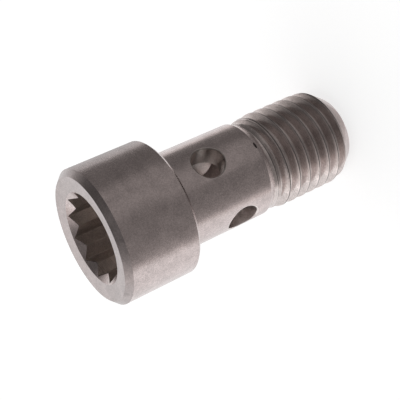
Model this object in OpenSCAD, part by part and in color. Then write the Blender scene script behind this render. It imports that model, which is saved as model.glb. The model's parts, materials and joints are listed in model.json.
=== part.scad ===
// Hollow banjo bolt: a one-piece turned screw with a round head, a star drive socket, a plain shank with two
// cross ports, and a short metric thread. It stands on its tip: the origin is the centre of the tip's end
// ring, and +Z runs up the axis to the face of the head.

/* [Head] */
// Diameter of the round head
head_d = 16.6; // [14.5:0.1:20]
// Height of the head, from its seat to the rim of its face
head_h = 9.6; // [8.6:0.1:14]
// Chamfer round the rim of the face
face_edge = 0.7; // [0.2:0.1:1.2]
// Angle at which the face falls from its rim towards the socket, in degrees
face_slope = 7; // [1:1:12]
// Chamfer on the head's edge beside the seat
seat_edge = 0.3; // [0.1:0.05:0.6]

/* [Drive socket] */
// Number of points of the star
star_points = 12; // [6:1:16]
// Diameter across the star's outer points
star_outer_d = 11.1; // [10.2:0.1:12.4]
// Diameter across the star's inner points
star_inner_d = 9.6; // [7.5:0.1:10]
// Depth of the star's straight flanks below the face's rim
star_depth = 6.7; // [3:0.1:7]
// Depth of the shallow cone at the socket's floor
socket_cone = 1.2; // [0.4:0.1:1.6]
// How far the countersink reaches outside the outer points, at the face
countersink_edge = 0.1; // [0.05:0.05:0.4]
// Turn of the star about the axis, in degrees from the lower port
star_turn = -4; // [-15:1:15]

/* [Shank] */
// Length of the plain shank, from the seat to the neck
shank_l = 11.7; // [10:0.1:18]
// How far the shank's surface lies inside the thread's crests
shank_step = 0.1; // [0.05:0.05:0.4]
// Radius in the corner between the shank and the seat
seat_fillet_r = 0.4; // [0.1:0.1:0.6]

/* [Ports] */
// Diameter of the two cross ports
port_d = 4; // [3:0.1:5]
// Distance between the two ports' axes, along the bolt
port_stagger = 2.5; // [0:0.1:4]
// How far below the shank's middle the pair of ports is centred
port_shift = 0.8; // [0:0.1:1.2]

/* [Passage] */
// Diameter of the axial passage
bore_d = 6.4; // [5:0.1:6.8]
// How far the passage runs past the edge of the upper port
bore_past = 0.8; // [0.2:0.1:1.5]
// Included angle of the drill point at the passage's end
drill_point = 118; // [90:1:140]
// Chamfer at the passage's mouth
mouth_edge = 0.4; // [0.1:0.1:0.8]

/* [Thread] */
// Outside diameter of the thread
thread_d = 12; // [11.6:0.1:13.5]
// Pitch of the thread
thread_pitch = 1.5; // [1:0.25:1.75]
// Turn of the thread about the axis, in degrees from the lower port
thread_turn = 214; // [0:1:359]
// Length of the thread, from the neck to the tip's chamfer
thread_l = 10.5; // [6:0.1:18]
// Length of the tapered neck between the shank and the thread
neck_l = 0.8; // [0.6:0.1:2]
// Length of the chamfer at the tip
tip_l = 2; // [0.5:0.1:3]
// How far the chamfer brings the tip in from the thread's crests
tip_drop = 1.4; // [0.5:0.1:1.6]
// How far the thread's groove reaches down into the chamfer
tip_bite = 0.8; // [0.2:0.1:1.2]

/* [Hidden] */
$fn = 128;

// Steel as it shows in even light
steel = [0.56, 0.54, 0.53];
// How far a cutting tool runs out of the surface that it starts from
run_out = 1;
// Angle between the two flanks of a metric thread
thread_angle = 60;
// Height of a metric thread's crest above its pitch line, as a share of the pitch
crest_share = 0.3248;
// Depth of a metric thread's groove, and width of its crest, as shares of the pitch
groove_share = 0.6134;
crest_flat_share = 0.125;
// How far the groove's sides run on outside the crests, as a share of the pitch
groove_over_share = 0.1;
// How far outside the crests the groove's floor starts and ends, as a share of the pitch
groove_lift_share = 0.03;
// Straight steps in one turn of the groove
turn_steps = 24;

head_r = head_d / 2;
thread_r = thread_d / 2;
shank_r = thread_r - shank_step;
// The thread is rolled up from a blank of its pitch diameter, to which the neck tapers
neck_r = thread_r - crest_share * thread_pitch;
tip_r = thread_r - tip_drop;

thread_bottom = tip_l;
thread_top = thread_bottom + thread_l;
neck_top = thread_top + neck_l;
seat_z = neck_top + shank_l;
face_z = seat_z + head_h;
face_r = head_r - face_edge;

star_outer_r = star_outer_d / 2;
star_inner_r = star_inner_d / 2;
countersink_r = star_outer_r + countersink_edge;
mouth_z = face_z - (face_r - countersink_r) * tan(face_slope);

ports_z = neck_top + shank_l / 2 - port_shift;
upper_port_z = ports_z + port_stagger / 2;
lower_port_z = ports_z - port_stagger / 2;

bore_r = bore_d / 2;
bore_top = upper_port_z + port_d / 2 + bore_past;
drill_point_h = bore_r / tan(drill_point / 2);

// Half of the bolt's turned section, from the axis outwards
module turned_section() {
    polygon([
        [0, 0],
        [tip_r, 0],
        [thread_r, thread_bottom],
        [thread_r, thread_top - (thread_r - neck_r)],
        [neck_r, thread_top],
        [shank_r, neck_top],
        [shank_r, seat_z],
        [head_r - seat_edge, seat_z],
        [head_r, seat_z + seat_edge],
        [head_r, face_z - face_edge],
        [face_r, face_z],
        [0, face_z - face_r * tan(face_slope)],
    ]);
    difference() {
        translate([shank_r, seat_z - seat_fillet_r]) square(seat_fillet_r);
        translate([shank_r + seat_fillet_r, seat_z - seat_fillet_r]) circle(r = seat_fillet_r);
    }
}

// The star's outline, with its outer and inner points in turn
module star_outline() {
    step = 180 / star_points;
    polygon([
        for (i = [0 : 2 * star_points - 1])
            let (r = i % 2 == 0 ? star_outer_r : star_inner_r)
            [r * cos(i * step), r * sin(i * step)]
    ]);
}

// Drive socket: the star, a cone at its floor, and a countersink that trims the ends of the teeth
module socket() {
    floor_z = face_z - star_depth;
    rotate([0, 0, star_turn]) translate([0, 0, floor_z]) linear_extrude(star_depth + run_out) star_outline();
    translate([0, 0, floor_z - socket_cone]) cylinder(h = socket_cone, r1 = 0, r2 = star_inner_r);
    translate([0, 0, mouth_z - countersink_r])
        cylinder(h = countersink_r + run_out, r1 = 0, r2 = countersink_r + run_out);
}

// Axial passage, drilled from the tip to just past the upper port
module passage() {
    translate([0, 0, -run_out]) cylinder(h = bore_top + run_out, r = bore_r);
    translate([0, 0, bore_top]) cylinder(h = drill_point_h, r1 = bore_r, r2 = 0);
    translate([0, 0, -run_out])
        cylinder(h = mouth_edge + run_out, r1 = bore_r + mouth_edge + run_out, r2 = bore_r);
}

// The thread's helical groove, right-hand. It is full over most of its length, and runs out at the neck over
// one turn and in the tip's chamfer over half a turn.
module thread_groove() {
    flank = tan(thread_angle / 2);
    over_r = thread_r + groove_over_share * thread_pitch;
    lift_r = thread_r + groove_lift_share * thread_pitch;
    floor_r = thread_r - groove_share * thread_pitch;
    floor_half = (1 - crest_flat_share) / 2 * thread_pitch - (thread_r - floor_r) * flank;
    low_z = thread_bottom - tip_bite;
    high_z = thread_top + neck_l / 2;
    steps = ceil((high_z - low_z) / thread_pitch * turn_steps);
    corners = [
        for (i = [0 : steps])
            let (
                z = low_z + (high_z - low_z) * i / steps,
                full = min(1, 2 * (z - low_z) / thread_pitch, (high_z - z) / thread_pitch),
                r = lift_r + (floor_r - lift_r) * full,
                over_half = floor_half + (over_r - r) * flank,
                turn = thread_turn + 360 * z / thread_pitch - 180,
                floor_side = [[r, z - floor_half], [r, z + floor_half]],
                open_side = [[over_r, z - over_half], [over_r, z + over_half]]
            )
            for (p = [floor_side[0], open_side[0], open_side[1], floor_side[1]])
                [p.x * cos(turn), p.x * sin(turn), p.y]
    ];
    sides = [
        for (i = [0 : steps - 1], side = [0 : 3])
            let (a = 4 * i + side, b = 4 * i + (side + 1) % 4)
            each [[a, b, b + 4], [a, b + 4, a + 4]]
    ];
    ends = [[3, 2, 1, 0], [for (side = [0 : 3]) 4 * steps + side]];
    polyhedron(corners, concat(sides, ends));
}

// One cross port, drilled right through the shank along Y
module port() {
    rotate([90, 0, 0]) cylinder(h = 2 * (shank_r + run_out), d = port_d, center = true);
}

module banjo_bolt() {
    color(steel) difference() {
        rotate_extrude() turned_section();
        socket();
        passage();
        thread_groove();
        translate([0, 0, upper_port_z]) port();
        translate([0, 0, lower_port_z]) rotate([0, 0, 90]) port();
    }
}

banjo_bolt();
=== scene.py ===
"""Hollow banjo bolt: a turned steel blank with a forged star socket, a drilled passage, two cross ports and
a rolled thread, standing on its tip on a pale floor. Lengths are in metres, in the part's own frame, with +Z
up the axis."""
import json
import math

import bmesh
import bpy
from mathutils import Matrix, Quaternion, Vector


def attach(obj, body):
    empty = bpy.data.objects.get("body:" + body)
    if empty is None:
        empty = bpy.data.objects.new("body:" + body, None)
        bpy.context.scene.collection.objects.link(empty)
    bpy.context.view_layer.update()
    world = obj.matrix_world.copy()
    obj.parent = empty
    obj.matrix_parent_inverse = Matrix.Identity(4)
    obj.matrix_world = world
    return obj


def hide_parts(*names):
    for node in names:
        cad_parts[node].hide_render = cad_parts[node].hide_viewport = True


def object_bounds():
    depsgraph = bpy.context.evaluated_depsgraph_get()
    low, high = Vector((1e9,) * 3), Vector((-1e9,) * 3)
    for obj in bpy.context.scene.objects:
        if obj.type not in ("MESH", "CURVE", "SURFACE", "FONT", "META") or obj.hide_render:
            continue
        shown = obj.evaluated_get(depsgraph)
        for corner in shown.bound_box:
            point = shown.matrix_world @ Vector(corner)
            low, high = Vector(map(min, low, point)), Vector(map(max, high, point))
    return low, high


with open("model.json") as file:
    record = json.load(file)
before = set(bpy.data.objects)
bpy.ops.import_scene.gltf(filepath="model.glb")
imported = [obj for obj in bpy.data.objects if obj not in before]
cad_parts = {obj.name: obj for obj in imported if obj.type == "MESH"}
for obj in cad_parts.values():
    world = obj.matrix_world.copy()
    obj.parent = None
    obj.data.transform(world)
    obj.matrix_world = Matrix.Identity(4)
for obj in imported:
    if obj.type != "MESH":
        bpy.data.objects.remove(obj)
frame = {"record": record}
cad_low, cad_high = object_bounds()
scene = bpy.context.scene
scene.view_settings.view_transform = "Standard"


# Camera: a long lens above the head, leaning far over to one side, so that the bolt lies across the picture
# with its head at the lower left and its thread at the upper right.
MM = 0.001
aim_point = Vector((-1.076, 0.487, 20.021)) * MM
camera_distance = 116.3 * MM
camera_azimuth = math.radians(-24.3545)
camera_elevation = math.radians(25.693)
camera_roll = math.radians(-114.857)
camera_lens = 88.53
camera_clip = 1 * MM

to_camera = Vector((
    math.sin(camera_azimuth) * math.cos(camera_elevation),
    -math.cos(camera_azimuth) * math.cos(camera_elevation),
    math.sin(camera_elevation),
))
camera = bpy.data.objects.new("camera", bpy.data.cameras.new("camera"))
camera.data.lens = camera_lens
camera.data.clip_start = camera_clip
camera.location = aim_point + to_camera * camera_distance
camera.rotation_mode = "QUATERNION"
camera.rotation_quaternion = to_camera.to_track_quat("Z", "Y") @ Quaternion((0, 0, 1), camera_roll)
scene.collection.objects.link(camera)
scene.camera = camera


# Blank: one bar of steel, turned to a round head and a plain shank, with a tapered neck below the shank. The
# head's face falls gently to its middle and has a chamfer round its rim. A smaller chamfer and a fillet lie
# at the seat, and the lathe leaves fine rings and short scratches all over.
mounts = {mount["name"]: mount for mount in frame["record"]["mounts"]}
head_r = cad_high.x
face_z = cad_high.z
seat_z = mounts["seat"]["pos_m"][2]
shank_r = mounts["upper_port"]["dims"]["length_mm"] / 2 * MM
neck_r = 5.513 * MM
neck_bottom = 12.5 * MM
neck_top = 13.3 * MM
face_edge = 0.7 * MM
face_slope = math.radians(7)
seat_edge = 0.3 * MM
seat_fillet_r = 0.4 * MM
columns = 192
# Distance of the extra rings that hold an edge, and radius of the small flat that closes a section
hold = 0.04 * MM
near_axis = 0.02 * MM
turned_slot, rolled_slot, faced_slot = range(3)
turned_colour = (0.61, 0.53, 0.52)
faced_colour = (0.45, 0.4, 0.395)
# Finishes: roughness, depth of the rings and depth of the grain
turned_finish = (0.24, 0.0025 * MM, 0.006 * MM)
faced_finish = (0.3, 0.004 * MM, 0.008 * MM)
# Noises: scale, detail and roughness. A draw is the scale of the marks round the axis and across them
ring_noise = (1, 4, 0.65)
ring_draw = (0.12, 9)
scratch_noise = (1, 1, 0.5)
scratch_draw = (0.7, 13)
grain_noise = (6, 4, 0.7)
patch_noise = (0.7, 3, 0.5)
# Noise values at which a scratch begins and is full, and its strength at both
scratch_range = (0.66, 0.72, 0, 0.1)
# Share of the fine grain in the mottle, of which broad patches make up the rest
grain_share = 0.7
# Noise values where the grain is darkest and lightest, with the share of the colour there
dark_grain = (0.38, 0.76)
light_grain = (0.62, 1.14)
# Noise values between which the rings go from smooth to rough, and the share of the roughness at both
ring_range = (0.3, 0.7)
ring_roughness = (0.88, 1.14)


def maths(tree, operation, *values):
    """A Math node on these numbers and sockets, as its output socket."""
    node = tree.nodes.new("ShaderNodeMath")
    node.operation = operation
    for socket, value in zip(node.inputs, values):
        if isinstance(value, (int, float)):
            socket.default_value = value
        else:
            tree.links.new(value, socket)
    return node.outputs[0]


def noise(tree, vector, scale, detail, roughness):
    """A Noise Texture's value on this vector."""
    node = tree.nodes.new("ShaderNodeTexNoise")
    node.inputs["Scale"].default_value = scale
    node.inputs["Detail"].default_value = detail
    node.inputs["Roughness"].default_value = roughness
    tree.links.new(vector, node.inputs["Vector"])
    return node.outputs["Fac"]


def between(tree, value, low, high, at_low, at_high):
    """A Map Range node that takes a value from one range to another."""
    node = tree.nodes.new("ShaderNodeMapRange")
    node.inputs["From Min"].default_value = low
    node.inputs["From Max"].default_value = high
    node.inputs["To Min"].default_value = at_low
    node.inputs["To Max"].default_value = at_high
    tree.links.new(value, node.inputs["Value"])
    return node.outputs["Result"]


def bump(tree, height, depth, normal=None):
    """A Bump node of this depth, laid over another where one is given."""
    node = tree.nodes.new("ShaderNodeBump")
    node.inputs["Distance"].default_value = depth
    tree.links.new(height, node.inputs["Height"])
    if normal:
        tree.links.new(normal, node.inputs["Normal"])
    return node.outputs["Normal"]


def steel(name, colour, roughness, ring_depth, grain_depth):
    """Bare steel with fine rings round the axis, short scratches along them, and a speckled grain."""
    material = bpy.data.materials.new(name)
    material.use_nodes = True
    tree = material.node_tree
    shader = tree.nodes["Principled BSDF"]
    shader.inputs["Metallic"].default_value = 1
    place = tree.nodes.new("ShaderNodeTexCoord")
    in_mm = tree.nodes.new("ShaderNodeVectorMath")
    in_mm.operation = "SCALE"
    in_mm.inputs["Scale"].default_value = 1 / MM
    tree.links.new(place.outputs["Object"], in_mm.inputs[0])
    axes = tree.nodes.new("ShaderNodeSeparateXYZ")
    axes.name = "axes"
    tree.links.new(in_mm.outputs[0], axes.inputs[0])
    x, y, z = axes.outputs
    squares = maths(tree, "ADD", maths(tree, "MULTIPLY", x, x), maths(tree, "MULTIPLY", y, y))
    along_section = maths(tree, "ADD", z, maths(tree, "SQRT", squares))

    def round_axis(across, along):
        """Coordinates that draw a noise out around the axis."""
        vector = tree.nodes.new("ShaderNodeCombineXYZ")
        tree.links.new(maths(tree, "MULTIPLY", x, across), vector.inputs["X"])
        tree.links.new(maths(tree, "MULTIPLY", y, across), vector.inputs["Y"])
        tree.links.new(maths(tree, "MULTIPLY", along_section, along), vector.inputs["Z"])
        return vector.outputs[0]

    rings = noise(tree, round_axis(*ring_draw), *ring_noise)
    scratches = between(tree, noise(tree, round_axis(*scratch_draw), *scratch_noise), *scratch_range)
    grain = noise(tree, in_mm.outputs[0], *grain_noise)
    patches = noise(tree, in_mm.outputs[0], *patch_noise)
    fine_part = maths(tree, "MULTIPLY", grain, grain_share)
    coarse_part = maths(tree, "MULTIPLY", patches, 1 - grain_share)
    mottle = maths(tree, "SUBTRACT", maths(tree, "ADD", fine_part, coarse_part), scratches)
    tint = tree.nodes.new("ShaderNodeValToRGB")
    tint.name = "tint"
    for element, (position, share) in zip(tint.color_ramp.elements, (dark_grain, light_grain)):
        element.position = position
        element.color = (*(channel * share for channel in colour), 1)
    tree.links.new(mottle, tint.inputs["Fac"])
    tree.links.new(tint.outputs["Color"], shader.inputs["Base Color"])
    smoothest, roughest = (roughness * share for share in ring_roughness)
    tree.links.new(between(tree, rings, *ring_range, smoothest, roughest), shader.inputs["Roughness"])
    tree.links.new(bump(tree, grain, grain_depth, bump(tree, rings, ring_depth)), shader.inputs["Normal"])
    return material


def arc(centre_r, centre_z, radius, start, stop, steps=10):
    """Points of a section's round stretch, by its angles in degrees from the radial direction."""
    angles = [math.radians(start + (stop - start) * i / steps) for i in range(steps + 1)]
    return [(centre_r + radius * math.cos(a), centre_z + radius * math.sin(a)) for a in angles]


def turn_section(mesh, section, count):
    """Turns the points (radius, height) of a section about Z, and gives back the rings of vertices."""
    rings = []
    for radius, height in section:
        turns = [math.tau * i / count for i in range(count)]
        rings.append([mesh.verts.new((radius * math.cos(a), radius * math.sin(a), height)) for a in turns])
    for low, high in zip(rings, rings[1:]):
        for i in range(count):
            mesh.faces.new((low[i], low[(i + 1) % count], high[(i + 1) % count], high[i]))
    return rings


def add_object(name, mesh, *materials):
    """Puts a built mesh into the scene as an object with these materials."""
    bmesh.ops.recalc_face_normals(mesh, faces=mesh.faces[:])
    thing = bpy.data.objects.new(name, bpy.data.meshes.new(name))
    mesh.to_mesh(thing.data)
    mesh.free()
    for material in materials:
        thing.data.materials.append(material)
    scene.collection.objects.link(thing)
    return thing


turned_steel = steel("turned_steel", turned_colour, *turned_finish)
faced_steel = steel("faced_steel", faced_colour, *faced_finish)
neck_slope = (shank_r - neck_r) / (neck_top - neck_bottom)
face_r = head_r - face_edge
blank_section = [
    (neck_r, neck_bottom),
    (neck_r + neck_slope * hold, neck_bottom + hold),
    (shank_r - neck_slope * hold, neck_top - hold),
    (shank_r, neck_top),
    (shank_r, neck_top + hold),
    (shank_r, seat_z - seat_fillet_r - hold),
    *arc(shank_r + seat_fillet_r, seat_z - seat_fillet_r, seat_fillet_r, 180, 90),
    (shank_r + seat_fillet_r + hold, seat_z),
    (head_r - seat_edge, seat_z),
    (head_r, seat_z + seat_edge),
    (head_r, face_z - face_edge),
    (face_r, face_z),
    (near_axis, face_z - (face_r - near_axis) * math.tan(face_slope)),
]
blank = bmesh.new()
blank_rings = turn_section(blank, blank_section, columns)
blank.faces.new(blank_rings[-1])
for face in blank.faces:
    if face.calc_center_median().z > face_z - face_edge:
        face.material_index = faced_slot


# Thread: a right-hand metric thread, rolled up from the blank between two dies. The flanks are burnished,
# and the metal flows up to crests with a fine seam between two lips, which stay low and wide apart at the
# neck, where the groove runs out. Painted shade darkens each seam and a painted highlight brightens the
# lips. The long chamfer at the tip stays plain at its end.
thread_r = mounts["thread"]["dims"]["r_mm"] * MM
pitch = 1.5 * MM
thread_start = math.radians(214)
flank_angle = math.radians(30)
thread_depth = 0.6134 * pitch
crest_flat = pitch / 8
floor_half = (pitch - crest_flat) / 2 - thread_depth * math.tan(flank_angle)
groove_lift = 0.03 * pitch
groove_bottom = 1.2 * MM
groove_top = 12.9 * MM
softness = 0.03 * MM
seam_depth = 0.03 * MM
seam_half = 0.06 * MM
seam_fade = 0.1 * MM
# The crests' slope at both ends, how low they start at the tip, and how much deeper the seam gets for each
# unit that a crest is low
lead_slope = 0.2
lead_drop = 0.12 * MM
lip_height = 0.35
tip_r = 4.6 * MM
tip_l = 2.0 * MM
rows_per_pitch = 32
turns_made = math.ceil(neck_bottom / pitch) + 1
merge_gap = 0.002 * MM
rolled_colour = (0.76, 0.68, 0.66)
rolled_finish = (0.24, 0.003 * MM, 0.004 * MM)
# Distance in millimetres from the middle of a crest, and the painted brightness there: painted shade in
# the seam and a painted highlight on the lips
crest_painted_light = [(0, 0.2), (0.04, 0.22), (0.065, 1), (0.115, 1), (0.145, 0.86), (0.75, 0.86)]


def past_groove(tree, angle, height, start, pitch_length):
    """How far a point lies above the middle of the nearest groove, by its turn and its height."""
    lag = maths(tree, "DIVIDE", maths(tree, "SUBTRACT", angle, start), math.tau)
    climbed = maths(tree, "SUBTRACT", maths(tree, "DIVIDE", height, pitch_length), lag)
    share = maths(tree, "SUBTRACT", maths(tree, "FRACT", climbed), 0.5)
    return maths(tree, "MULTIPLY", share, pitch_length)


def grey_ramp(tree, value, greys, interpolation="LINEAR"):
    """A Color Ramp through these pairs of position and grey."""
    node = tree.nodes.new("ShaderNodeValToRGB")
    node.color_ramp.interpolation = interpolation
    while len(node.color_ramp.elements) < len(greys):
        node.color_ramp.elements.new(0.5)
    for element, (position, grey) in zip(node.color_ramp.elements, greys):
        element.position = position
        element.color = (grey, grey, grey, 1)
    tree.links.new(value, node.inputs["Fac"])
    return node.outputs["Color"]


rolled_steel = steel("rolled_steel", rolled_colour, *rolled_finish)
rolled_tree = rolled_steel.node_tree
x, y, z = rolled_tree.nodes["axes"].outputs
offset_mm = past_groove(rolled_tree, maths(rolled_tree, "ARCTAN2", y, x), z, thread_start, pitch / MM)
from_crest_mm = maths(rolled_tree, "SUBTRACT", pitch / 2 / MM, maths(rolled_tree, "ABSOLUTE", offset_mm))
shaded = rolled_tree.nodes.new("ShaderNodeMix")
shaded.data_type = "RGBA"
shaded.blend_type = "MULTIPLY"
shaded.inputs["Factor"].default_value = 1
rolled_tree.links.new(rolled_tree.nodes["tint"].outputs["Color"], shaded.inputs["A"])
rolled_tree.links.new(grey_ramp(rolled_tree, from_crest_mm, crest_painted_light), shaded.inputs["B"])
rolled_tree.links.new(shaded.outputs["Result"], rolled_tree.nodes["Principled BSDF"].inputs["Base Color"])

tree = bpy.data.node_groups.new("rolled_thread", "GeometryNodeTree")
tree.interface.new_socket("Thread", in_out="OUTPUT", socket_type="NodeSocketGeometry")
thread_sizes = {
    "Pitch": pitch,
    "Crest radius": thread_r,
    "Depth": thread_depth,
    "Start angle": thread_start,
    "Floor half width": floor_half,
    "Groove lift": groove_lift,
    "Groove bottom": groove_bottom,
    "Groove top": groove_top,
    "Softness": softness,
    "Seam depth": seam_depth,
    "Seam half width": seam_half,
    "Lead drop": lead_drop,
    "Neck radius": neck_r,
    "Thread top": neck_bottom,
    "Tip radius": tip_r,
    "Tip length": tip_l,
}
size_sockets = {}
for name in thread_sizes:
    size_sockets[name] = tree.interface.new_socket(name, in_out="INPUT", socket_type="NodeSocketFloat")
sizes = tree.nodes.new("NodeGroupInput").outputs

# A sheet of rows that climb one pitch in each turn, cut off level at the tip and at the neck
sheet = tree.nodes.new("GeometryNodeMeshGrid")
sheet.inputs["Size X"].default_value = 1
sheet.inputs["Size Y"].default_value = 1
sheet.inputs["Vertices X"].default_value = columns + 1
sheet.inputs["Vertices Y"].default_value = rows_per_pitch * turns_made + 1
on_sheet = tree.nodes.new("ShaderNodeSeparateXYZ")
tree.links.new(tree.nodes.new("GeometryNodeInputPosition").outputs[0], on_sheet.inputs[0])
turn = maths(tree, "ADD", on_sheet.outputs["X"], 0.5)
row = maths(tree, "ADD", on_sheet.outputs["Y"], 0.5)
angle = maths(tree, "MULTIPLY", turn, math.tau)
climb = maths(tree, "ADD", maths(tree, "SUBTRACT", maths(tree, "MULTIPLY", row, turns_made), 1), turn)
height = maths(tree, "MULTIPLY", climb, sizes["Pitch"])
height = maths(tree, "MINIMUM", maths(tree, "MAXIMUM", height, 0), sizes["Thread top"])

# The groove's floor and flanks, which rise out of the steel over half a turn at the tip and one at the neck
offset = past_groove(tree, angle, height, sizes["Start angle"], sizes["Pitch"])
from_floor = maths(tree, "ABSOLUTE", offset)
groove_z = maths(tree, "SUBTRACT", height, offset)
in_tip = maths(tree, "MULTIPLY", maths(tree, "SUBTRACT", groove_z, sizes["Groove bottom"]), 2)
in_neck = maths(tree, "SUBTRACT", sizes["Groove top"], groove_z)
full = maths(tree, "DIVIDE", maths(tree, "MINIMUM", in_tip, in_neck), sizes["Pitch"])
full = maths(tree, "MAXIMUM", maths(tree, "MINIMUM", full, 1), 0)
lifted = maths(tree, "ADD", sizes["Crest radius"], sizes["Groove lift"])
drop = maths(tree, "MULTIPLY", maths(tree, "ADD", sizes["Depth"], sizes["Groove lift"]), full)
floor_r = maths(tree, "SUBTRACT", lifted, drop)
past_floor = maths(tree, "SUBTRACT", from_floor, sizes["Floor half width"])
flank_r = maths(tree, "ADD", floor_r, maths(tree, "DIVIDE", past_floor, math.tan(flank_angle)))
form = maths(tree, "SMOOTH_MAX", flank_r, floor_r, sizes["Softness"])

# The crests, which start lower at the neck and at the tip
to_neck = maths(tree, "SUBTRACT", sizes["Thread top"], height)
neck_lead = maths(tree, "ADD", sizes["Neck radius"], maths(tree, "MULTIPLY", to_neck, lead_slope))
to_tip = maths(tree, "SUBTRACT", height, sizes["Tip length"])
tip_lead = maths(tree, "SUBTRACT", maths(tree, "MULTIPLY", to_tip, lead_slope), sizes["Lead drop"])
tip_lead = maths(tree, "ADD", tip_lead, sizes["Crest radius"])
crest_r = maths(tree, "MINIMUM", maths(tree, "MINIMUM", neck_lead, tip_lead), sizes["Crest radius"])
form = maths(tree, "SMOOTH_MIN", form, crest_r, sizes["Softness"])

# The seam between the two lips, wider and deeper where a crest is low, and closed at the neck
short = maths(tree, "SUBTRACT", sizes["Crest radius"], crest_r)
lips_half = maths(tree, "MULTIPLY", short, math.tan(flank_angle))
lips_half = maths(tree, "ADD", lips_half, sizes["Seam half width"])
lips_depth = maths(tree, "ADD", maths(tree, "MULTIPLY", short, lip_height), sizes["Seam depth"])
from_crest = maths(tree, "SUBTRACT", maths(tree, "DIVIDE", sizes["Pitch"], 2), from_floor)
seam = maths(tree, "SUBTRACT", 1, maths(tree, "DIVIDE", from_crest, lips_half))
seam = maths(tree, "MULTIPLY", maths(tree, "MAXIMUM", seam, 0), lips_depth)
open_seam = between(tree, to_neck, 0, seam_fade, 0, 1)
seam = maths(tree, "MULTIPLY", maths(tree, "MULTIPLY", seam, full), open_seam)
form = maths(tree, "SUBTRACT", form, seam)

# The chamfer at the tip
tip_slope = maths(tree, "SUBTRACT", sizes["Crest radius"], sizes["Tip radius"])
tip_slope = maths(tree, "DIVIDE", tip_slope, sizes["Tip length"])
tip_cone = maths(tree, "ADD", sizes["Tip radius"], maths(tree, "MULTIPLY", height, tip_slope))
form = maths(tree, "MINIMUM", form, tip_cone)

# The sheet, rolled up round the axis and closed along its seam
around = tree.nodes.new("ShaderNodeCombineXYZ")
tree.links.new(maths(tree, "MULTIPLY", form, maths(tree, "COSINE", angle)), around.inputs["X"])
tree.links.new(maths(tree, "MULTIPLY", form, maths(tree, "SINE", angle)), around.inputs["Y"])
tree.links.new(height, around.inputs["Z"])
rolled = tree.nodes.new("GeometryNodeSetPosition")
tree.links.new(sheet.outputs["Mesh"], rolled.inputs["Geometry"])
tree.links.new(around.outputs[0], rolled.inputs["Position"])
closed = tree.nodes.new("GeometryNodeMergeByDistance")
closed.inputs["Distance"].default_value = merge_gap
tree.links.new(rolled.outputs[0], closed.inputs["Geometry"])
whole = tree.nodes.new("GeometryNodeRealizeInstances")
tree.links.new(closed.outputs[0], whole.inputs["Geometry"])
finish = tree.nodes.new("GeometryNodeSetMaterial")
finish.inputs["Material"].default_value = rolled_steel
tree.links.new(whole.outputs[0], finish.inputs["Geometry"])
tree.links.new(finish.outputs[0], tree.nodes.new("NodeGroupOutput").inputs["Thread"])

dies = bpy.data.objects.new("dies", bpy.data.meshes.new("dies"))
scene.collection.objects.link(dies)
rolling = dies.modifiers.new("rolling", "NODES")
rolling.node_group = tree
for name, value in thread_sizes.items():
    rolling[size_sockets[name].identifier] = value
thread_mesh = bpy.data.meshes.new_from_object(dies.evaluated_get(bpy.context.evaluated_depsgraph_get()))
bpy.data.objects.remove(dies)


def on_chamfer(vertex):
    """Whether a vertex lies on the plain cone of the tip's chamfer."""
    cone_r = tip_r + vertex.co.z * (thread_r - tip_r) / tip_l
    return abs(vertex.co.xy.length - cone_r) < merge_gap


first_thread_face = len(blank.faces)
blank.from_mesh(thread_mesh)
blank.faces.ensure_lookup_table()
for face in blank.faces[first_thread_face:]:
    plain = all(on_chamfer(vertex) for vertex in face.verts)
    face.material_index = turned_slot if plain else rolled_slot
bmesh.ops.remove_doubles(blank, verts=blank.verts[:], dist=merge_gap)
tip_edges = [edge for edge in blank.edges if edge.is_boundary]
bmesh.ops.contextual_create(blank, geom=tip_edges)
bolt = add_object("turned_bolt", blank, turned_steel, rolled_steel, faced_steel)


# Drive socket: a twelve-point star, forged into the head with slightly rounded corners. A drill leaves a
# shallow cone at its floor, and a countersink trims the ends of the teeth at the face.
star_points = 12
star_outer_r = 5.55 * MM
star_inner_r = 4.8 * MM
star_depth = 6.7 * MM
socket_cone = 1.2 * MM
countersink_r = 5.65 * MM
star_turn = math.radians(-4)
root_corner_r = 0.12 * MM
tooth_corner_r = 0.15 * MM
inner_columns = columns // 2
# How far a cutter stands out of the surface that it enters
run_out = 1 * MM
# Painted light: the forged steel is lighter than the turned steel, to light up the socket's depths
socket_lit_colour = (0.67, 0.615, 0.585)
forged_finish = (0.3, 0.004 * MM, 0.006 * MM)

forged_lit_steel = steel("forged_lit_steel", socket_lit_colour, *forged_finish)


def cut(thing, cutter):
    """Takes a closed cutter away from an object. The new faces keep the cutter's material."""
    change = thing.modifiers.new("cut", "BOOLEAN")
    change.operation = "DIFFERENCE"
    change.solver = "EXACT"
    change.material_mode = "TRANSFER"
    change.object = cutter
    depsgraph = bpy.context.evaluated_depsgraph_get()
    left = bpy.data.meshes.new_from_object(thing.evaluated_get(depsgraph))
    thing.modifiers.clear()
    thing.data = left
    bpy.data.objects.remove(cutter)


def round_corner(before, corner, after, radius, steps=4):
    """Points of the arc that rounds one corner of an outline."""
    to_before = (before - corner).normalized()
    to_after = (after - corner).normalized()
    half = to_before.angle(to_after) / 2
    centre = corner + (to_before + to_after).normalized() * radius / math.sin(half)
    start = corner + to_before * radius / math.tan(half) - centre
    stop = corner + to_after * radius / math.tan(half) - centre
    return [centre + start.lerp(stop, i / steps).normalized() * radius for i in range(steps + 1)]


def turned_cutter(name, section, count, material):
    """A cutter with this section, closed by a flat at both ends."""
    mesh = bmesh.new()
    rings = turn_section(mesh, section, count)
    mesh.faces.new(rings[0])
    mesh.faces.new(rings[-1])
    return add_object(name, mesh, material)


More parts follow.
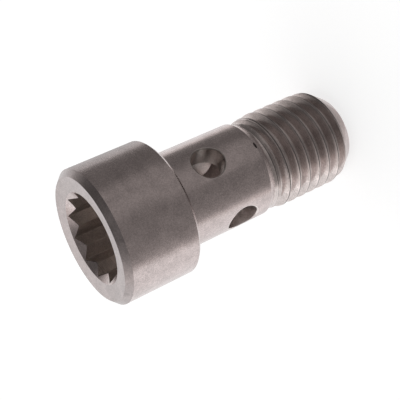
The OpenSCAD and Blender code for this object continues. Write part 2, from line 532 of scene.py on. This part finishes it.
star = []
for i in range(2 * star_points):
    radius = star_inner_r if i % 2 else star_outer_r
    turned = star_turn + math.pi * i / star_points
    star.append(Vector((radius * math.cos(turned), radius * math.sin(turned), 0)))
star_outline = []
for i, corner in enumerate(star):
    corner_r = tooth_corner_r if i % 2 else root_corner_r
    star_outline += round_corner(star[i - 1], corner, star[(i + 1) % len(star)], corner_r)
punch = bmesh.new()
low_ring = [punch.verts.new(point + Vector((0, 0, face_z - star_depth))) for point in star_outline]
high_ring = [punch.verts.new(point + Vector((0, 0, face_z + run_out))) for point in star_outline]
for i in range(len(star_outline)):
    punch.faces.new((low_ring[i - 1], low_ring[i], high_ring[i], high_ring[i - 1]))
punch.faces.new(low_ring)
punch.faces.new(high_ring)
cut(bolt, add_object("punch", punch, forged_lit_steel))

floor_section = [
    (near_axis, face_z - star_depth - socket_cone),
    (star_inner_r - hold, face_z - star_depth),
    (star_inner_r - hold, face_z - star_depth + hold),
]
cut(bolt, turned_cutter("floor_drill", floor_section, inner_columns, forged_lit_steel))

mouth_z = face_z - (face_r - countersink_r) * math.tan(face_slope)
countersink_section = [(near_axis, mouth_z - countersink_r), (countersink_r + run_out, mouth_z + run_out)]
cut(bolt, turned_cutter("countersink", countersink_section, columns, turned_steel))


# Passage: a hole drilled up the axis from the tip to just past the upper port. It ends in the drill's cone,
# and its mouth has a small chamfer.
passage_r = mounts["passage"]["dims"]["r_mm"] * MM
passage_top = 22.4 * MM
drill_point = math.radians(118)
drill_point_h = passage_r / math.tan(drill_point / 2)
mouth_edge = 0.4 * MM
# Painted light: the drilled steel is lighter than the turned steel, to light up the passage and lower port
passage_lit_colour = (0.75, 0.685, 0.665)
drilled_finish = (0.3, 0.004 * MM, 0.004 * MM)

drilled_lit_steel = steel("drilled_lit_steel", passage_lit_colour, *drilled_finish)
drill_section = [
    (passage_r + mouth_edge + run_out, -run_out),
    (passage_r, mouth_edge),
    (passage_r, passage_top),
    (near_axis, passage_top + drill_point_h),
]
cut(bolt, turned_cutter("drill", drill_section, inner_columns, drilled_lit_steel))


# Cross ports: two holes drilled right through the shank into the passage, a quarter turn apart and one a
# little above the other. The upper one is the duller, rougher and darker. The lower one takes the passage's
# colour, which is painted lighter as painted light inside. Their edges are broken, so a narrow rounded band
# runs along the curve where each meets the shank.
port_columns = 96
edge_break = 0.2 * MM
edge_lift = 0.004 * MM
edge_steps = 4
dull_colour = (0.55, 0.5, 0.475)
dull_finish = (0.36, 0.004 * MM, 0.004 * MM)

dull_steel = steel("dull_steel", dull_colour, *dull_finish)


def port_cutter(name, port_r, port_z, direction, material):
    """A drill along a level direction, with a mouth that follows the shank's round surface at both ends."""
    across = Vector((-direction.y, direction.x, 0))
    outer_side = []
    for step in range(edge_steps + 1):
        swing = math.radians(90 * step / edge_steps)
        rise = edge_lift + edge_break * (math.sin(swing) - 1)
        outer_side.append((port_r + edge_break * (1 - math.cos(swing)), rise))
    outer_side.append((port_r + edge_break, run_out))
    stations = [(radius, rise, -1) for radius, rise in reversed(outer_side)]
    stations += [(radius, rise, 1) for radius, rise in outer_side]
    mesh = bmesh.new()
    rings = []
    for radius, rise, side in stations:
        ring = []
        for i in range(port_columns):
            a = math.tau * (i + 0.5) / port_columns
            sideways = radius * math.cos(a)
            reach = math.sqrt(shank_r ** 2 - sideways ** 2) + rise
            spot = across * sideways + direction * side * reach
            spot.z = port_z + radius * math.sin(a)
            ring.append(mesh.verts.new(spot))
        rings.append(ring)
    for low, high in zip(rings, rings[1:]):
        for i in range(port_columns):
            mesh.faces.new((low[i - 1], low[i], high[i], high[i - 1]))
    mesh.faces.new(rings[0])
    mesh.faces.new(rings[-1])
    return add_object(name, mesh, material)


for port, material in (("upper_port", dull_steel), ("lower_port", drilled_lit_steel)):
    port_r = mounts[port]["dims"]["r_mm"] * MM
    port_z = mounts[port]["pos_m"][2]
    cut(bolt, port_cutter(port, port_r, port_z, Vector(mounts[port]["axis"]), material))


# Nick: a small dent that was knocked into the shank's lower edge, beside the thread, and is coloured almost
# black. It is longer round the shank than up it.
nick_drop = 0.01 * MM
nick_spot = Vector((shank_r, 0, neck_top - nick_drop))
nick_turn = math.radians(-95.5)
nick_half = Vector((0.18, 0.43, 0.19)) * MM
nick_colour = (0.12, 0.1, 0.1)
nick_finish = (0.5, 0.004 * MM, 0.004 * MM)

nicked_steel = steel("nicked_steel", nick_colour, *nick_finish)
nick = bmesh.new()
nick_place = Matrix.Rotation(nick_turn, 4, "Z") @ Matrix.Translation(nick_spot)
nick_form = Matrix.Diagonal((*nick_half, 1))
bmesh.ops.create_icosphere(nick, subdivisions=3, radius=1, matrix=nick_place @ nick_form)
cut(bolt, add_object("nick", nick, nicked_steel))


# Finished bolt: the edges that the tools leave stay crisp, and everything that was turned or rolled is
# smooth. It stands for the plain solid of the part.
crisp_angle = math.radians(32)
bolt.data.polygons.foreach_set("use_smooth", [True] * len(bolt.data.polygons))
bolt.data.set_sharp_from_angle(angle=crisp_angle)
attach(bolt, "root")
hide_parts("banjo_bolt")


# Floor: a wide board with pale matt paint, on which the bolt stands. It keeps the bolt's shadow, and it
# shows white to the camera and in the steel.
floor_size = 4.0
floor_grey = 0.5
floor_glow = 0.72


def white_surround(tree, level):
    """One for rays from the camera, a mirror or clear stuff, and this level for plain light."""
    path = tree.nodes.new("ShaderNodeLightPath")
    seen = maths(tree, "MAXIMUM", path.outputs["Is Camera Ray"], path.outputs["Is Glossy Ray"])
    seen = maths(tree, "MAXIMUM", seen, path.outputs["Is Transmission Ray"])
    return maths(tree, "ADD", maths(tree, "MULTIPLY", seen, 1 - level), level)


def matt(name, grey):
    """A material with no shine of its own, with its shader."""
    material = bpy.data.materials.new(name)
    material.use_nodes = True
    shader = material.node_tree.nodes["Principled BSDF"]
    shader.inputs["Base Color"].default_value = (grey, grey, grey, 1)
    shader.inputs["Roughness"].default_value = 1
    shader.inputs["Specular IOR Level"].default_value = 0
    shader.inputs["Emission Color"].default_value = (1, 1, 1, 1)
    return material, shader


floor_paint, paint_shader = matt("floor_paint", floor_grey)
paint_tree = floor_paint.node_tree
glow = maths(paint_tree, "MULTIPLY", white_surround(paint_tree, 0), floor_glow)
paint_tree.links.new(glow, paint_shader.inputs["Emission Strength"])
floor_mesh = bmesh.new()
bmesh.ops.create_grid(floor_mesh, size=floor_size / 2)
add_object("floor", floor_mesh, floor_paint)


# Felt: bare steel shows nothing but what stands around it, so a dark felt sheet lies on the floor on the
# camera's side, with a hole for the tip, and a tent of the same felt leans over the bolt. No lamp lights
# it: it glows with painted greys, which paint the light and dark bands that the steel reflects. It is
# lighter at one side close to the bolt and fades to white along its far edge. Only the steel's reflections
# see it.
felt_z = 0.05 * MM
felt_columns = 48
felt_inner_r = 4.6 * MM
felt_inner_swell = 1.6 * MM
felt_inner_turn = math.radians(-104)
# Start and sweep in degrees, from the +X side of the bolt
sheet_span = (-190, 200)
tent_span = (2, 176)
tent_r = 0.5
tent_rows = 16
tent_lean = math.radians(135)
felt_tint = (1, 0.955, 0.935)
# Grey by the bearing, which goes from 0 at the -X side to 1 at the +X side
felt_greys = [(0, 0.34), (0.14, 0.27), (0.36, 0.22), (0.45, 0.32), (0.64, 0.31), (0.75, 0.17), (1, 0.16)]
# Ranges with the levels at their two ends: darker close to the bolt, lighter on the +X side as far as the
# next range reaches, darker high up in the tent, and lighter at its back
felt_close = (20 * MM, 28 * MM, 0.58, 1)
felt_side = (0.8, 0.96, 0, 0.7)
felt_side_reach = (16 * MM, 24 * MM, 1, 0)
tent_high = (0.15, 0.35, 1, 0.55)
tent_back = (-0.02, 0.3, 0, 0.9)
# Far edge: length of its fade, where it starts to turn back and how fast, and how fast the tent leaves it
felt_edge_l = 9.5 * MM
felt_edge_from = 12 * MM
felt_edge_turn = 0.15
felt_edge_rise = 10


def spread(start, sweep):
    """Angles in even steps over a sweep, both in degrees."""
    return [math.radians(start + sweep * i / felt_columns) for i in range(felt_columns + 1)]


def fill_strips(mesh, rings):
    """Fills the strips between open rings of vertices."""
    for low, high in zip(rings, rings[1:]):
        for i in range(felt_columns):
            mesh.faces.new((low[i], low[i + 1], high[i + 1], high[i]))


def show_in_steel(thing):
    """Hides a piece of the studio from everything but reflections."""
    thing.visible_camera = False
    thing.visible_diffuse = False
    thing.visible_transmission = False
    thing.visible_shadow = False


glowing_felt, felt_shader = matt("glowing_felt", 0)
felt_shader.inputs["Emission Strength"].default_value = 1
felt_tree = glowing_felt.node_tree
felt_place = felt_tree.nodes.new("ShaderNodeTexCoord").outputs["Object"]
felt_axes = felt_tree.nodes.new("ShaderNodeSeparateXYZ")
felt_tree.links.new(felt_place, felt_axes.inputs[0])
felt_x, felt_y, felt_up = felt_axes.outputs
felt_reach = felt_tree.nodes.new("ShaderNodeVectorMath")
felt_reach.operation = "LENGTH"
felt_tree.links.new(felt_place, felt_reach.inputs[0])
reach = felt_reach.outputs["Value"]
camera_side = maths(felt_tree, "MULTIPLY", maths(felt_tree, "ABSOLUTE", felt_y), -1)
bearing = maths(felt_tree, "DIVIDE", maths(felt_tree, "ARCTAN2", camera_side, felt_x), math.pi)
bearing = maths(felt_tree, "ADD", bearing, 1)
level = grey_ramp(felt_tree, bearing, felt_greys, "EASE")
level = maths(felt_tree, "MULTIPLY", level, between(felt_tree, reach, *felt_close))
level = maths(felt_tree, "MULTIPLY", level, between(felt_tree, felt_up, *tent_high))
beside = between(felt_tree, bearing, *felt_side)
beside = maths(felt_tree, "MULTIPLY", beside, between(felt_tree, reach, *felt_side_reach))
level = maths(felt_tree, "ADD", level, beside)
level = maths(felt_tree, "ADD", level, between(felt_tree, felt_y, *tent_back))
far_edge = maths(felt_tree, "MULTIPLY", maths(felt_tree, "SUBTRACT", reach, felt_edge_from), felt_edge_turn)
from_edge = maths(felt_tree, "ADD", far_edge, maths(felt_tree, "MULTIPLY", felt_up, felt_edge_rise))
from_edge = maths(felt_tree, "SUBTRACT", from_edge, felt_y)
level = maths(felt_tree, "MAXIMUM", level, between(felt_tree, from_edge, 0, felt_edge_l, 1, 0))
tinted = felt_tree.nodes.new("ShaderNodeMix")
tinted.data_type = "RGBA"
tinted.inputs["A"].default_value = (0, 0, 0, 1)
tinted.inputs["B"].default_value = (*felt_tint, 1)
felt_tree.links.new(level, tinted.inputs["Factor"])
felt_tree.links.new(tinted.outputs["Result"], felt_shader.inputs["Emission Color"])

felt = bmesh.new()
inner_ring = []
outer_ring = []
for a in spread(*sheet_span):
    # The hole is widest at the bolt's two sides
    hole_r = felt_inner_r + felt_inner_swell * math.sin(a - felt_inner_turn) ** 2
    inner_ring.append(felt.verts.new((hole_r * math.cos(a), hole_r * math.sin(a), felt_z)))
    outer_ring.append(felt.verts.new((tent_r * math.cos(a), tent_r * math.sin(a), felt_z)))
fill_strips(felt, [inner_ring, outer_ring])
tent_turns = spread(*tent_span)
tent_rings = []
for i in range(tent_rows + 1):
    lean = tent_lean * i / tent_rows
    out_y = -tent_r * math.cos(lean)
    out_z = tent_r * math.sin(lean)
    ring = [(tent_r * math.cos(a), out_y * math.sin(a), felt_z + out_z * math.sin(a)) for a in tent_turns]
    tent_rings.append([felt.verts.new(spot) for spot in ring])
fill_strips(felt, tent_rings)
show_in_steel(add_object("felt_tent", felt, glowing_felt))


# Grey card: a curved strip that lies on the floor behind the bolt, at one side, and dims what the steel
# shows there. No lamp lights it: its grey is a painted glow, so the steel shows a painted reflection of it.
# Only reflections see it, as with the felt.
card_grey = 0.6
card_inner_r = 56 * MM
card_outer_r = 130 * MM
card_span = (3, 72)

glowing_card, card_shader = matt("glowing_card", 0)
card_shader.inputs["Emission Strength"].default_value = card_grey
card = bmesh.new()
card_rings = []
for radius in (card_inner_r, card_outer_r):
    ring = [(radius * math.cos(a), radius * math.sin(a), felt_z) for a in spread(*card_span)]
    card_rings.append([card.verts.new(spot) for spot in ring])
fill_strips(card, card_rings)
show_in_steel(add_object("card", card, glowing_card))


# Sky and lamp: a pale even sky all round, and one soft square lamp overhead, a little behind the bolt, which
# casts the shadow on the floor.
plain_light = 0.35
lamp_size = 0.8
lamp_spot = Vector((0, 0.24, 0.66))
lamp_radiance = 1.0

world = bpy.data.worlds.new("studio")
world.use_nodes = True
scene.world = world
sky = world.node_tree.nodes["Background"]
sky.inputs["Color"].default_value = (1, 1, 1, 1)
world.node_tree.links.new(white_surround(world.node_tree, plain_light), sky.inputs["Strength"])

lamp = bpy.data.objects.new("soft_lamp", bpy.data.lights.new("soft_lamp", "AREA"))
lamp.data.shape = "SQUARE"
lamp.data.size = lamp_size
lamp.data.energy = lamp_radiance * math.pi * lamp_size ** 2
lamp.location = lamp_spot
lamp.rotation_euler = lamp_spot.to_track_quat("Z", "Y").to_euler()
lamp.visible_camera = False
scene.collection.objects.link(lamp)
